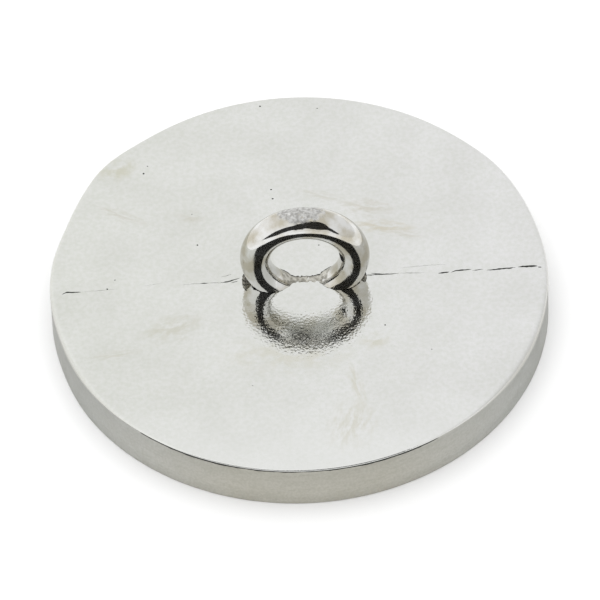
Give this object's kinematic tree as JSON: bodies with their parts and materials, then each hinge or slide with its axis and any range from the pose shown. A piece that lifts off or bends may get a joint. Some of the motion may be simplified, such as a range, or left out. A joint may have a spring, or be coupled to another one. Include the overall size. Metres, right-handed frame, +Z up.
{
  "type": "magnet fishing magnet",
  "caption": "Round single-sided fishing magnet: a low plated steel pot with a fixed rope eye on top and a ring of flat magnet segments potted in its open underside.",
  "frame": {"origin": "centre of the pole face, the flat underside that grips steel and that the magnet stands on", "axes": "+Z up through the eye; X along the plane of the eye ring and the mould seam on the top face; +Y through the eye's hole, towards the back"},
  "size_m": [0.1199, 0.12, 0.0362],
  "materials": {
    "plated_pot": "bright nickel plate over a cast and dressed steel face, slightly smeared and scuffed",
    "polished_eye": "polished and nickel plated bar, with a matte dressed patch at its butt weld",
    "plated_magnet": "satin nickel plate on sintered magnet",
    "black_resin": "poured and levelled epoxy resin",
    "amber_adhesive": "cured structural adhesive"
  },
  "bodies": {
    "root": {"steel_pot": "plated_pot", "eye_ring": "polished_eye", "magnet_segment_01": "plated_magnet", "magnet_segment_02": "plated_magnet", "magnet_segment_03": "plated_magnet", "magnet_segment_04": "plated_magnet", "magnet_segment_05": "plated_magnet", "magnet_segment_06": "plated_magnet", "magnet_segment_07": "plated_magnet", "magnet_segment_08": "plated_magnet", "magnet_segment_09": "plated_magnet", "magnet_segment_10": "plated_magnet", "magnet_segment_11": "plated_magnet", "magnet_segment_12": "plated_magnet", "potting_resin": "black_resin", "adhesive_bed": "amber_adhesive"}
  },
  "joints": []
}
